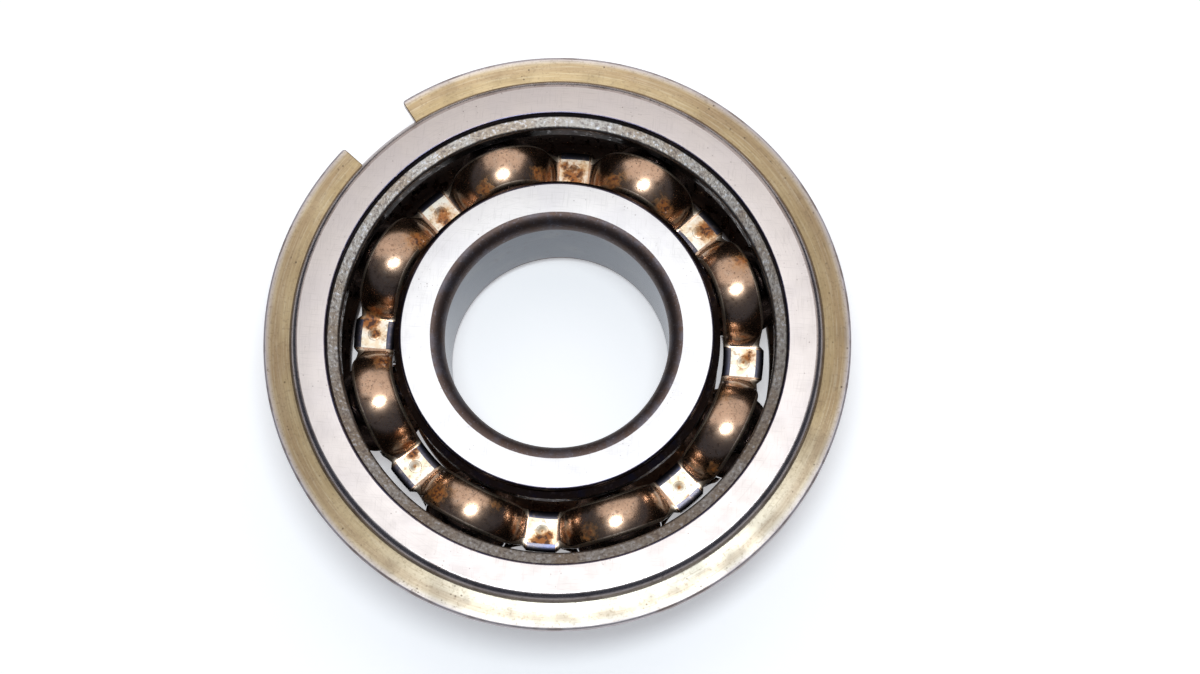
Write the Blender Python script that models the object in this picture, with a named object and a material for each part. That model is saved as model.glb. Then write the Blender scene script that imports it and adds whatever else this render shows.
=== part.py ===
"""Deep-groove ball bearing, 30 x 72 x 19 mm, with a snap ring in its outer ring.

The bearing lies flat with its axis on +Z. The origin is the centre of its back face, and the
snap ring is near the front face, at the top. Eight balls run between the rings in a pressed
two-piece ribbon cage, whose halves are riveted together between the balls.
"""

import math

import bmesh
import bpy

MM = 0.001

# Boundary sizes.
BORE_RADIUS = 15.0 * MM
OUTSIDE_RADIUS = 36.0 * MM
WIDTH = 19.0 * MM
MID_HEIGHT = WIDTH / 2

# Balls and raceways. The running gap is wider than the real one, so that faceted rings clear the balls.
BALL_COUNT = 8
BALL_RADIUS = 6.15 * MM
PITCH_RADIUS = (BORE_RADIUS + OUTSIDE_RADIUS) / 2
RUNNING_GAP = 0.1 * MM
RACEWAY_RADIUS = 6.5 * MM
INNER_LAND_RADIUS = 21.85 * MM
OUTER_LAND_RADIUS = 29.05 * MM
PITCH_ANGLE = 2 * math.pi / BALL_COUNT

# Outer ring.
OUTER_FACE_INSIDE = 31.05 * MM
OUTER_CORNER_RADIAL = 1.5 * MM
FRONT_CORNER_AXIAL = 3.0 * MM
BACK_CORNER_AXIAL = 2.0 * MM
RECESS_EDGE = 0.35 * MM
RECESS_DEPTH = 1.1 * MM
RECESS_SLOPE = math.tan(math.radians(15.0))
LAND_EDGE = 0.3 * MM

# Snap ring and its groove, whose near flank leaves a thin land beside the front face.
GROOVE_FAR_FLANK = 3.28 * MM
GROOVE_WIDTH = 1.9 * MM
GROOVE_RADIUS = 34.4 * MM
SNAP_THICKNESS = 1.7 * MM
SNAP_INSIDE_RADIUS = 34.5 * MM
SNAP_OUTSIDE_RADIUS = 39.3 * MM
SNAP_EDGE = 0.15 * MM
SNAP_GAP_ANGLE = math.radians(15.0)
SNAP_GAP_CENTRE = math.radians(135.0)

# Inner ring.
BORE_CORNER_RADIAL = 1.85 * MM
BORE_CORNER_AXIAL = 2.4 * MM
INNER_END_RADIUS = 21.0 * MM
INNER_END_EDGE = 0.35 * MM
INNER_END_LENGTH = 1.3 * MM
INNER_STEP_LENGTH = 0.75 * MM

# Cage, pressed from sheet. The pockets are domes round the balls, and bends join them to flat pads.
SHEET = 0.85 * MM
POCKET_RADIUS = BALL_RADIUS + 0.2 * MM
PAD_HALF_WIDTH = 1.95 * MM
CAGE_INSIDE_RADIUS = 22.45 * MM
CAGE_OUTSIDE_RADIUS = 27.95 * MM
CAGE_CENTRE_RADIUS = (CAGE_INSIDE_RADIUS + CAGE_OUTSIDE_RADIUS) / 2
FIT_GAP = 0.02 * MM

# Rivets through the pads. A head is a low dome: a short rim, a shoulder and a crown.
RIVET_RADIUS = 0.55 * MM
RIVET_HOLE_RADIUS = 0.59 * MM
RIVET_HEAD_RADIUS = 0.9 * MM
RIVET_SHOULDER_RADIUS = 0.54 * MM
RIVET_RIM_HEIGHT = 0.09 * MM
RIVET_SHOULDER_HEIGHT = 0.24 * MM
RIVET_HEAD_HEIGHT = 0.3 * MM
RIVET_CUTTER_LENGTH = 4 * SHEET

# Facets.
RING_SEGMENTS = 60
RACEWAY_SEGMENTS = 8
CORNER_SEGMENTS = 3
BALL_SEGMENTS = 16
BALL_ROWS = 10
DOME_SEGMENTS = 6
BEND_SEGMENTS = 2
CAGE_ROWS = 4
RIVET_SEGMENTS = 10
SMOOTH_ANGLE = math.radians(32.0)

# Colour, roughness and metallic value of each steel.
GROUND_STEEL = ((0.62, 0.58, 0.57), 0.35, 1.0)
BORE_STEEL = ((0.60, 0.58, 0.57), 0.30, 1.0)
SPRING_STEEL = ((0.42, 0.34, 0.21), 0.45, 1.0)
CAGE_STEEL = ((0.17, 0.12, 0.09), 0.28, 1.0)
BALL_STEEL = ((0.70, 0.70, 0.72), 0.08, 1.0)
RIVET_STEEL = ((0.40, 0.31, 0.24), 0.40, 1.0)


def clear_scene():
    """Remove every object that the file holds."""
    for obj in list(bpy.data.objects):
        bpy.data.objects.remove(obj, do_unlink=True)


def make_material(name, finish):
    """Return a Principled material with one colour, roughness and metallic value."""
    colour, roughness, metallic = finish
    material = bpy.data.materials.new(name)
    material.use_nodes = True
    shader = material.node_tree.nodes["Principled BSDF"]
    shader.inputs["Base Color"].default_value = (*colour, 1.0)
    shader.inputs["Roughness"].default_value = roughness
    shader.inputs["Metallic"].default_value = metallic
    material.diffuse_color = (*colour, 1.0)
    return material


def mesh_from(bm, name, material):
    """Turn a closed bmesh into a mesh with outward faces and smooth round surfaces."""
    bmesh.ops.recalc_face_normals(bm, faces=bm.faces[:])
    mesh = bpy.data.meshes.new(name)
    bm.to_mesh(mesh)
    bm.free()
    mesh.materials.append(material)
    mesh.shade_smooth()
    mesh.set_sharp_from_angle(angle=SMOOTH_ANGLE)
    return mesh


def add_object(name, mesh, location=(0, 0, 0), parent=None):
    """Place a mesh in the scene under its node's name."""
    obj = bpy.data.objects.new(name, mesh)
    bpy.context.scene.collection.objects.link(obj)
    obj.location = location
    obj.parent = parent
    return obj


def arc(centre, radii, start, end, segments):
    """Points (radius, height) along an elliptical arc, both ends included."""
    points = []
    for step in range(segments + 1):
        angle = start + (end - start) * step / segments
        radius = centre[0] + radii[0] * math.cos(angle)
        height = centre[1] + radii[1] * math.sin(angle)
        points.append((radius, height))
    return points


def mirrored(points):
    """The same points on the other side of the mid-plane, in reverse order."""
    return [(radius, WIDTH - height) for radius, height in reversed(points)]


def turned_mesh(name, profile, material, segments=RING_SEGMENTS, start=0.0, sweep=2 * math.pi):
    """Spin a closed outline of (radius, height) points about Z, with ends where it doesn't close."""
    bm = bmesh.new()
    verts = []
    for radius, height in profile:
        verts.append(bm.verts.new((radius * math.cos(start), radius * math.sin(start), height)))
    outline = [bm.edges.new((verts[i - 1], verts[i])) for i in range(len(verts))]
    full_turn = math.isclose(sweep, 2 * math.pi)
    spun = bmesh.ops.spin(
        bm, geom=outline, cent=(0, 0, 0), axis=(0, 0, 1), angle=sweep, steps=segments, use_merge=full_turn
    )
    if not full_turn:
        last_edges = [item for item in spun["geom_last"] if isinstance(item, bmesh.types.BMEdge)]
        bmesh.ops.contextual_create(bm, geom=outline)
        bmesh.ops.contextual_create(bm, geom=last_edges)
    return mesh_from(bm, name, material)


def outer_ring_profile():
    """Outline of the outer ring: faces, recesses, lands, raceway, corners and snap ring groove."""
    race_bottom = PITCH_RADIUS + BALL_RADIUS + RUNNING_GAP
    race_centre = race_bottom - RACEWAY_RADIUS
    race_angle = math.acos((OUTER_LAND_RADIUS - race_centre) / RACEWAY_RADIUS)
    race = arc((race_centre, MID_HEIGHT), (RACEWAY_RADIUS, RACEWAY_RADIUS), race_angle, -race_angle, RACEWAY_SEGMENTS)

    recess_wall = OUTER_FACE_INSIDE - RECESS_EDGE
    recess_top = WIDTH - RECESS_DEPTH
    floor_inside = OUTER_LAND_RADIUS + LAND_EDGE
    floor_low = recess_top - (recess_wall - floor_inside) * RECESS_SLOPE
    front_recess = [
        (OUTER_FACE_INSIDE, WIDTH),
        (recess_wall, WIDTH - RECESS_EDGE),
        (recess_wall, recess_top),
        (floor_inside, floor_low),
        (OUTER_LAND_RADIUS, floor_low - LAND_EDGE),
    ]

    corner_radius = OUTSIDE_RADIUS - OUTER_CORNER_RADIAL
    back_centre = (corner_radius, BACK_CORNER_AXIAL)
    back_radii = (OUTER_CORNER_RADIAL, BACK_CORNER_AXIAL)
    back_corner = arc(back_centre, back_radii, -math.pi / 2, 0, CORNER_SEGMENTS)

    # The front corner runs into the groove before it reaches the full outside radius.
    groove_far = WIDTH - GROOVE_FAR_FLANK
    groove_near = groove_far + GROOVE_WIDTH
    front_centre = (corner_radius, WIDTH - FRONT_CORNER_AXIAL)
    front_radii = (OUTER_CORNER_RADIAL, FRONT_CORNER_AXIAL)
    cut_angle = math.asin((groove_near - front_centre[1]) / FRONT_CORNER_AXIAL)
    front_corner = arc(front_centre, front_radii, cut_angle, math.pi / 2, CORNER_SEGMENTS)
    groove = [(OUTSIDE_RADIUS, groove_far), (GROOVE_RADIUS, groove_far), (GROOVE_RADIUS, groove_near)]
    return front_recess + race + mirrored(front_recess) + back_corner + groove + front_corner


def inner_ring_profile():
    """Outline of the inner ring: bore with rounded corners, faces, reduced ends, lands and raceway."""
    race_bottom = PITCH_RADIUS - BALL_RADIUS - RUNNING_GAP
    race_centre = race_bottom + RACEWAY_RADIUS
    race_angle = math.acos((race_centre - INNER_LAND_RADIUS) / RACEWAY_RADIUS)
    race = arc(
        (race_centre, MID_HEIGHT),
        (RACEWAY_RADIUS, RACEWAY_RADIUS),
        math.pi - race_angle,
        math.pi + race_angle,
        RACEWAY_SEGMENTS,
    )
    corner_centre = (BORE_RADIUS + BORE_CORNER_RADIAL, WIDTH - BORE_CORNER_AXIAL)
    corner_radii = (BORE_CORNER_RADIAL, BORE_CORNER_AXIAL)
    step_top = WIDTH - INNER_END_EDGE - INNER_END_LENGTH
    front = arc(corner_centre, corner_radii, math.pi, math.pi / 2, CORNER_SEGMENTS) + [
        (INNER_END_RADIUS - INNER_END_EDGE, WIDTH),
        (INNER_END_RADIUS, WIDTH - INNER_END_EDGE),
        (INNER_END_RADIUS, step_top),
        (INNER_LAND_RADIUS, step_top - INNER_STEP_LENGTH),
    ]
    return front + race + mirrored(front)


def snap_ring_profile():
    """Outline of the snap ring: a flat rectangle with slightly broken outer edges."""
    clearance = (GROOVE_WIDTH - SNAP_THICKNESS) / 2
    low = WIDTH - GROOVE_FAR_FLANK + clearance
    high = low + SNAP_THICKNESS
    return [
        (SNAP_INSIDE_RADIUS, low),
        (SNAP_OUTSIDE_RADIUS - SNAP_EDGE, low),
        (SNAP_OUTSIDE_RADIUS, low + SNAP_EDGE),
        (SNAP_OUTSIDE_RADIUS, high - SNAP_EDGE),
        (SNAP_OUTSIDE_RADIUS - SNAP_EDGE, high),
        (SNAP_INSIDE_RADIUS, high),
    ]


def snap_ring_mesh(material):
    """The snap ring from one end of its gap round to the other."""
    sweep = 2 * math.pi - SNAP_GAP_ANGLE
    start = SNAP_GAP_CENTRE + SNAP_GAP_ANGLE / 2
    segments = round(RING_SEGMENTS * sweep / (2 * math.pi))
    return turned_mesh("snap_ring", snap_ring_profile(), material, segments, start, sweep)


def pocket_section(radius, dome_radius, base):
    """Half of one pocket's section at a radius, from the middle of a pad to the top of the dome.

    The points are (angle from the pocket's centre, height). They are drawn as (half-chord, height),
    where a half-chord is half the straight distance between a point and its mirror image beyond the
    pocket, scaled so that the dome is a true sphere round the ball. The bend is an arc that touches
    both the dome and the pad's edge, so the pads' sides are parallel.
    """
    offset = radius - PITCH_RADIUS
    span = 2 * math.sqrt(radius * PITCH_RADIUS)
    dome = math.sqrt(dome_radius**2 - offset**2)
    pad_edge = PITCH_ANGLE / 2 - math.asin(PAD_HALF_WIDTH / radius)
    foot = span * math.sin(pad_edge / 2)
    bend = (foot**2 + base**2 - dome**2) / (2 * (dome - base))
    touch = math.atan2(base + bend, foot)
    points = []
    for step in range(BEND_SEGMENTS + 1):
        turn = (math.pi / 2 - touch) * step / BEND_SEGMENTS
        points.append((foot - bend * math.sin(turn), base + bend - bend * math.cos(turn)))
    for step in range(1, DOME_SEGMENTS + 1):
        rise = touch + (math.pi / 2 - touch) * step / DOME_SEGMENTS
        points.append((dome * math.cos(rise), dome * math.sin(rise)))
    section = [(2 * math.asin(chord / span), height) for chord, height in points]
    return [(PITCH_ANGLE / 2, base)] + section


def sheet_column(radius, dome_radius, base):
    """One full turn of a cage surface at one radius, as (angle, height) points."""
    half = pocket_section(radius, dome_radius, base)
    column = []
    for pocket in range(BALL_COUNT):
        centre = (pocket + 0.5) * PITCH_ANGLE
        for angle, height in half[:-1]:
            column.append((centre - angle, height))
        for angle, height in reversed(half[1:]):
            column.append((centre + angle, height))
    return column


def surface_verts(bm, radii, dome_radius, base, side):
    """Vertices of one cage surface: a list for each radius, each going round once."""
    rows = []
    for radius in radii:
        row = []
        for angle, height in sheet_column(radius, dome_radius, base):
            place = (radius * math.cos(angle), radius * math.sin(angle), side * (FIT_GAP / 2 + height))
            row.append(bm.verts.new(place))
        rows.append(row)
    return rows


def bridge_rows(bm, row_a, row_b):
    """Quads between two closed rows of the same number of vertices."""
    for i in range(len(row_a)):
        bm.faces.new((row_a[i - 1], row_a[i], row_b[i], row_b[i - 1]))


def cage_half_mesh(name, side, material):
    """One pressed cage half, on the +Z side (side 1) or the -Z side (side -1) of the mid-plane."""
    bm = bmesh.new()
    step = (CAGE_OUTSIDE_RADIUS - CAGE_INSIDE_RADIUS) / CAGE_ROWS
    radii = [CAGE_INSIDE_RADIUS + step * row for row in range(CAGE_ROWS + 1)]
    outside = surface_verts(bm, radii, POCKET_RADIUS + SHEET, SHEET, side)
    inside = surface_verts(bm, radii, POCKET_RADIUS, 0, side)
    for row in range(CAGE_ROWS):
        bridge_rows(bm, outside[row], outside[row + 1])
        bridge_rows(bm, inside[row], inside[row + 1])
    bridge_rows(bm, outside[0], inside[0])
    bridge_rows(bm, outside[-1], inside[-1])
    return mesh_from(bm, name, material)


def rivet_places():
    """Centre of each rivet in the mid-plane, in the middle of the pads."""
    places = []
    for pad in range(BALL_COUNT):
        angle = pad * PITCH_ANGLE
        places.append((CAGE_CENTRE_RADIUS * math.cos(angle), CAGE_CENTRE_RADIUS * math.sin(angle), 0))
    return places


def rivet_hole_cutter(parent):
    """A hidden set of cylinders that drills the rivet holes through both cage halves."""
    bm = bmesh.new()
    for place in rivet_places():
        drilled = bmesh.ops.create_cone(
            bm,
            cap_ends=True,
            segments=RIVET_SEGMENTS,
            radius1=RIVET_HOLE_RADIUS,
            radius2=RIVET_HOLE_RADIUS,
            depth=RIVET_CUTTER_LENGTH,
        )
        bmesh.ops.translate(bm, verts=drilled["verts"], vec=place)
    mesh = bpy.data.meshes.new("rivet_hole_cutter")
    bm.to_mesh(mesh)
    bm.free()
    cutter = add_object("rivet_hole_cutter", mesh, parent=parent)
    cutter.hide_render = True
    cutter.display_type = "WIRE"
    return cutter


def rivet_profile():
    """Outline of a rivet with a low round head at each end, its axis left open at radius zero."""
    pad_top = FIT_GAP / 2 + SHEET
    under_head = pad_top + FIT_GAP
    upper = [
        (RIVET_SHOULDER_RADIUS, under_head + RIVET_SHOULDER_HEIGHT),
        (RIVET_HEAD_RADIUS, under_head + RIVET_RIM_HEIGHT),
        (RIVET_HEAD_RADIUS, under_head),
        (RIVET_RADIUS, under_head),
    ]
    lower = [(radius, -height) for radius, height in reversed(upper)]
    return under_head + RIVET_HEAD_HEIGHT, upper + lower


def rivet_mesh(material):
    """A rivet about its own centre, closed by a pole at each end."""
    crown, side = rivet_profile()
    bm = bmesh.new()
    rows = []
    for radius, height in side:
        row = []
        for segment in range(RIVET_SEGMENTS):
            angle = 2 * math.pi * segment / RIVET_SEGMENTS
            row.append(bm.verts.new((radius * math.cos(angle), radius * math.sin(angle), height)))
        rows.append(row)
    for upper, lower in zip(rows, rows[1:]):
        bridge_rows(bm, upper, lower)
    for row, height in ((rows[0], crown), (rows[-1], -crown)):
        pole = bm.verts.new((0, 0, height))
        for i in range(RIVET_SEGMENTS):
            bm.faces.new((row[i - 1], row[i], pole))
    return mesh_from(bm, "rivet", material)


def ball_mesh(material):
    """A ball about its own centre, with its poles on its spin axis."""
    bm = bmesh.new()
    bmesh.ops.create_uvsphere(bm, u_segments=BALL_SEGMENTS, v_segments=BALL_ROWS, radius=BALL_RADIUS)
    return mesh_from(bm, "ball", material)


def build_cage(axis):
    """Both cage halves with their rivets, all on the empty at the bearing's centre."""
    material = make_material("cage_steel", CAGE_STEEL)
    cutter = rivet_hole_cutter(axis)
    for name, side in (("cage_front", 1), ("cage_back", -1)):
        half = add_object(name, cage_half_mesh(name, side, material), parent=axis)
        drill = half.modifiers.new("rivet_holes", "BOOLEAN")
        drill.operation = "DIFFERENCE"
        drill.object = cutter
    rivet = rivet_mesh(make_material("rivet_steel", RIVET_STEEL))
    for index, place in enumerate(rivet_places(), start=1):
        add_object(f"rivet_{index}", rivet, place, axis)


def build_balls(axis):
    """The balls, each turned to its own place on the pitch circle."""
    ball = ball_mesh(make_material("ball_steel", BALL_STEEL))
    for index in range(BALL_COUNT):
        angle = (index + 0.5) * PITCH_ANGLE
        place = (PITCH_RADIUS * math.cos(angle), PITCH_RADIUS * math.sin(angle), 0)
        add_object(f"ball_{index + 1}", ball, place, axis)


def build_bearing():
    """The whole bearing."""
    clear_scene()
    ground = make_material("outer_ring_steel", GROUND_STEEL)
    bore = make_material("inner_ring_steel", BORE_STEEL)
    spring = make_material("snap_ring_steel", SPRING_STEEL)
    add_object("outer_ring", turned_mesh("outer_ring", outer_ring_profile(), ground))
    add_object("inner_ring", turned_mesh("inner_ring", inner_ring_profile(), bore))
    add_object("snap_ring", snap_ring_mesh(spring))
    cage_axis = add_object("cage_axis", None, (0, 0, MID_HEIGHT))
    build_cage(cage_axis)
    build_balls(cage_axis)


build_bearing()
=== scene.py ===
"""The looks of a deep-groove ball bearing with a snap ring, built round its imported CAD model.

Every CAD node is replaced by a finer mesh in the same place, with rounded edges and a procedural
steel of its own. Profiles are in millimetres, as (radius, height) above the back face.
"""

import math
from collections import namedtuple

import bmesh
import bpy
from mathutils import Euler, Matrix, Vector


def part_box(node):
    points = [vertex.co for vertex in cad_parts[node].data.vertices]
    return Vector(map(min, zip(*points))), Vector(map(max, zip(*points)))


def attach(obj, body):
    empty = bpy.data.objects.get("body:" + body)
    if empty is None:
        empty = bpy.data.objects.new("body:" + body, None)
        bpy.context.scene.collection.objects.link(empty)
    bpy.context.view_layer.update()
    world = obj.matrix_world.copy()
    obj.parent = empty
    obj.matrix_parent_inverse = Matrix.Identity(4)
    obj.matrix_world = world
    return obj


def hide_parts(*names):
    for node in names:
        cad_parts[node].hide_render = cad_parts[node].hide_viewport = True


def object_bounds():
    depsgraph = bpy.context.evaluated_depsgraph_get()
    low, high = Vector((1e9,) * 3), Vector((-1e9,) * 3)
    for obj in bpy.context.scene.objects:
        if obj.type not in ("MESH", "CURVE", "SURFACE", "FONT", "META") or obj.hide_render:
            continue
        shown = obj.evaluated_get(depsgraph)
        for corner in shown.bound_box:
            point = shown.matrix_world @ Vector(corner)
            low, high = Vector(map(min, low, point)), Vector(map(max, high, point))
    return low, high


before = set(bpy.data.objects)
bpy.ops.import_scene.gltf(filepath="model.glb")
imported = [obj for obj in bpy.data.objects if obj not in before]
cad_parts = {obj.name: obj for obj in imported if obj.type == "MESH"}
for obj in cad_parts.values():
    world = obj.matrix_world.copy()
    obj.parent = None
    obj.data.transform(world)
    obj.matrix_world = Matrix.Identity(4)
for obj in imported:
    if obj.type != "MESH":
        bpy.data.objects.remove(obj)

cad_low, cad_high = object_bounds()

MM = 0.001


# ---------------------------------------------------------------- sizes read from the frame


def box_mm(node):
    """Lowest and highest corner of a CAD node, in millimetres."""
    low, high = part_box(node)
    return low / MM, high / MM


SNAP_LOW, SNAP_HIGH = box_mm("snap_ring")
BALL_LOW, BALL_HIGH = box_mm("ball_1")
OUTER_HIGH = box_mm("outer_ring")[1]

WIDTH = OUTER_HIGH.z
MID_HEIGHT = WIDTH / 2
FACE_CENTRE = Vector((0.0, 0.0, WIDTH * MM))
OUTSIDE_RADIUS = OUTER_HIGH.x
INNER_LAND_RADIUS = box_mm("inner_ring")[1].x
SNAP_OUTSIDE_RADIUS = SNAP_HIGH.x
CAGE_OUTSIDE_RADIUS = box_mm("cage_front")[1].x
BALL_RADIUS = (BALL_HIGH.z - BALL_LOW.z) / 2

BALL_COUNT = len([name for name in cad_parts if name.startswith("ball_")])
PITCH_ANGLE = 2 * math.pi / BALL_COUNT
BALL_CENTRES = [sum(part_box(f"ball_{k + 1}"), Vector()) / 2 for k in range(BALL_COUNT)]
PITCH_RADIUS = Vector(BALL_CENTRES[0][:2]).length / MM

# ---------------------------------------------------------------- sizes inside the boxes, in mm

BORE_RADIUS = 15.0
BORE_CORNER_RADIAL = 1.85
BORE_CORNER_AXIAL = 2.4
INNER_END_RADIUS = 21.0
INNER_END_LENGTH = 1.65
INNER_STEP_LENGTH = 0.75

OUTER_LAND_RADIUS = 29.05
RECESS_WALL_RADIUS = 30.7
RECESS_DEPTH = 1.1
RECESS_FALL = 0.45
OUTER_CORNER_RADIAL = 1.5
FRONT_CORNER_AXIAL = 3.0
BACK_CORNER_AXIAL = 2.0
RACEWAY_RADIUS = 6.5
RUNNING_GAP = 0.1

# Radii of the rounded edges, from the sharpest to the softest.
CRISP_EDGE = 0.1
GROUND_EDGE = 0.15
RECESS_CORNER = 0.2
FACE_EDGE = 0.3
SHEARED_EDGE = 0.35
LAND_EDGE = 0.45

GROOVE_RADIUS = 34.4
GROOVE_FAR_FLANK = 3.28
GROOVE_WIDTH = 1.9
SNAP_INSIDE_RADIUS = 34.5
SNAP_GAP_CENTRE = math.radians(135.0)
SNAP_GAP_ANGLE = math.radians(15.0)
SNAP_END_CORNER = 0.45
SNAP_END_EDGE = 0.12
SNAP_END_STEPS = [0.0, 0.02, 0.06, 0.12, 0.2, 0.3, SNAP_END_CORNER]

SHEET = 0.85
POCKET_GAP = 0.2
POCKET_RADIUS = BALL_RADIUS + POCKET_GAP
PAD_HALF_WIDTH = 1.95
CAGE_INSIDE_RADIUS = 22.45
CAGE_GAP = 0.02

# How far the sheet's top edges are rolled down, as a width and a share of the thickness.
PAD_ROLL = 1.05
DOME_ROLL = 0.38
ROLL_DROP = 0.38
FOOT_EDGE = 0.1
FOOT_ROUNDING = 0.3

# The sheet's outer edge is cut in beside each pad, and comes back out along the bend and the dome.
NOTCH_DEPTH = 0.65
NOTCH_START_STEPS = 2
NOTCH_STEPS = 14

RIVET_CIRCLE_RADIUS = 25.2
RIVET_RADIUS = 0.55
RIVET_HEAD_RADIUS = 0.88
RIVET_HEAD_HEIGHT = 0.13
RIVET_UNDER_HEAD = SHEET + CAGE_GAP * 1.5

# Rust on the cage: degrees round the bearing, radius, size and strength. Each rivet adds one more.
Stain = namedtuple("Stain", "degrees radius size strength")
RIVET_STAIN_SIZE = 0.4
RIVET_STAIN_STRENGTH = 0.68
STAINS = [
    Stain(2, 26.0, 1.2, 0.8),
    Stain(28, 27.0, 1.7, 0.8),
    Stain(44, 26.4, 1.9, 0.9),
    Stain(57, 23.5, 1.8, 0.9),
    Stain(76, 23.3, 2.0, 0.8),
    Stain(90, 24.7, 2.3, 0.82),
    Stain(93, 25.9, 1.0, 0.85),
    Stain(101, 23.6, 1.8, 0.8),
    Stain(120, 23.4, 1.9, 0.8),
    Stain(135, 24.5, 1.6, 0.82),
    Stain(148, 23.5, 2.0, 0.9),
    Stain(176, 25.9, 1.7, 1.0),
    Stain(180, 25.0, 0.9, 0.9),
    Stain(191, 23.6, 1.8, 0.9),
    Stain(221, 24.3, 1.2, 0.9),
    Stain(237, 26.0, 2.2, 0.9),
    Stain(255, 23.9, 1.4, 0.6),
    Stain(270, 26.9, 1.7, 1.0),
    Stain(272, 25.8, 0.9, 0.9),
    Stain(284, 26.5, 2.0, 0.7),
    Stain(315, 27.3, 0.8, 0.7),
    Stain(325, 27.0, 1.2, 0.8),
    Stain(346, 23.6, 1.4, 0.6),
]

# How far beyond a fillet its support points lie.
FILLET_SUPPORT = 0.04

# Steps of the meshes.
FILLET_STEPS = 6
RING_SEGMENTS = 320
RACE_STEPS = 40
CORNER_STEPS = 14
BACK_CORNER_STEPS = 12
PAD_STEPS = 8
BEND_STEPS = 10
DOME_STEPS = 20
ROLL_STEPS = 7
TOP_STEPS = 12
SIDE_STEPS = 3
RIVET_HEAD_STEPS = 12
RIVET_SEGMENTS = 40
BALL_CUTS = 23

# Zones of the snap ring's film. A pale silver painted highlight lies where x times the slant, less y,
# is high; the brown zone and the lilac one begin and end softly between two radii.
PAINTED_HIGHLIGHT_SLANT = 0.35
PAINTED_HIGHLIGHT_REACH = (18.0, 40.0)
BROWN_BEGINS = (36.6, 37.6)
BROWN_ENDS = (38.6, 37.8)
LILAC_BEGINS = (38.1, 39.0)

# Turning marks are this much finer up the axis than outward.
AXIAL_FINENESS = 1.3

# Rust: colours of its thin film, its body and its deep pits, how far the film reaches beyond it,
# how much noise breaks it up and how much of the metal's look it takes.
RUST_FILM = (0.60, 0.29, 0.085)
RUST_BODY = (0.46, 0.145, 0.025)
RUST_PITS = (0.07, 0.028, 0.018)
RUST_FILM_REACH = 0.35
RUST_BREAKUP = 1.1
RUST_ROUGHNESS = 0.6
RUST_METAL_LOSS = 0.7

# Each ball is turned further than the one before by these angles, in radians.
BALL_TURNS = (2.4, 1.1, 0.7)

# Stage and lights, in metres and watts.
FLOOR_HALF_SIZE = 3.0
FLOOR_DROP = 0.02 * MM
FLOOR_COLOUR = (0.93, 0.93, 0.93, 1.0)
FLOOR_ROUGHNESS = 0.9
FLOOR_SHINE = 0.1
FLOOR_GLOW = (0.94, 0.96, 1.0, 1.0)
FLOOR_GLOW_STRENGTH = 0.42
ROOM_COLOUR = (0.62, 0.72, 1.0, 1.0)
ROOM_STRENGTH = 0.09
BACKDROP_COLOUR = (0.93, 0.93, 0.94, 1.0)
LAMP_PLACE = (0.012, -0.02, 0.43)
LAMP_SIZE = (0.17, 0.10)
LAMP_WATTS = 0.90
LAMP_COLOUR = (0.88, 0.95, 1.0)
PANEL_PLACE = (0.0, 0.38, 0.46)
PANEL_SIZE = (0.95, 0.74)
PANEL_WATTS = 1.9
PANEL_COLOUR = (1.0, 0.93, 0.87)

# Camera, in degrees, metres and (lens and sensor) millimetres. The bearing sits left of the
# picture's centre: BEARING_LEFT and BEARING_UP are the tangents of the angles from the line of
# sight to the front face's centre.
CAMERA_AZIMUTH = 8.1
CAMERA_ELEVATION = 76.66
CAMERA_ROLL = -3.47
CAMERA_DISTANCE = 0.3423
CAMERA_LENS = 77.3
CAMERA_SENSOR = 36.0
CAMERA_CLIP_START = 0.01
BEARING_LEFT = -0.0169
BEARING_UP = 0.0013


# ---------------------------------------------------------------- turned shapes

Corner = namedtuple("Corner", "radius height fillet finish edge_finish", defaults=(None,))


def arc(centre, radii, start, end, steps):
    """Points (radius, height) along an elliptical arc, both ends included."""
    points = []
    for step in range(steps + 1):
        angle = start + (end - start) * step / steps
        points.append((centre[0] + radii[0] * math.cos(angle), centre[1] + radii[1] * math.sin(angle)))
    return points


def plain_corners(points, finish):
    """Corners without a fillet, for the points of an arc."""
    return [Corner(radius, height, 0.0, finish) for radius, height in points]


def fillet_points(before, corner, after):
    """The rounded stretch that takes a corner's place, with a support point beside each end."""
    here = Vector((corner.radius, corner.height))
    to_before = (Vector((before.radius, before.height)) - here).normalized()
    to_after = (Vector((after.radius, after.height)) - here).normalized()
    half_angle = to_before.angle(to_after) / 2
    reach = corner.fillet / math.tan(half_angle)
    centre = here + (to_before + to_after).normalized() * corner.fillet / math.sin(half_angle)
    first = here + to_before * reach - centre
    last = here + to_after * reach - centre
    turn = first.angle_signed(last)
    points = [here + to_before * (reach + FILLET_SUPPORT)]
    for step in range(FILLET_STEPS + 1):
        angle = -turn * step / FILLET_STEPS
        spoke = Vector((
            first.x * math.cos(angle) - first.y * math.sin(angle),
            first.x * math.sin(angle) + first.y * math.cos(angle),
        ))
        points.append(centre + spoke)
    points.append(here + to_after * (reach + FILLET_SUPPORT))
    return points


def outline(corners):
    """A closed list of (radius, height, finish) points. A finish belongs to the stretch after it."""
    points = []
    for i, corner in enumerate(corners):
        if corner.fillet == 0.0:
            points.append((corner.radius, corner.height, corner.finish))
            continue
        before = corners[i - 1]
        after = corners[(i + 1) % len(corners)]
        rounded = fillet_points(before, corner, after)
        edge_finish = corner.edge_finish or corner.finish
        points.append((*rounded[0], before.finish))
        points += [(*point, edge_finish) for point in rounded[1:-2]]
        points += [(*point, corner.finish) for point in rounded[-2:]]
    return points


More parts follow.
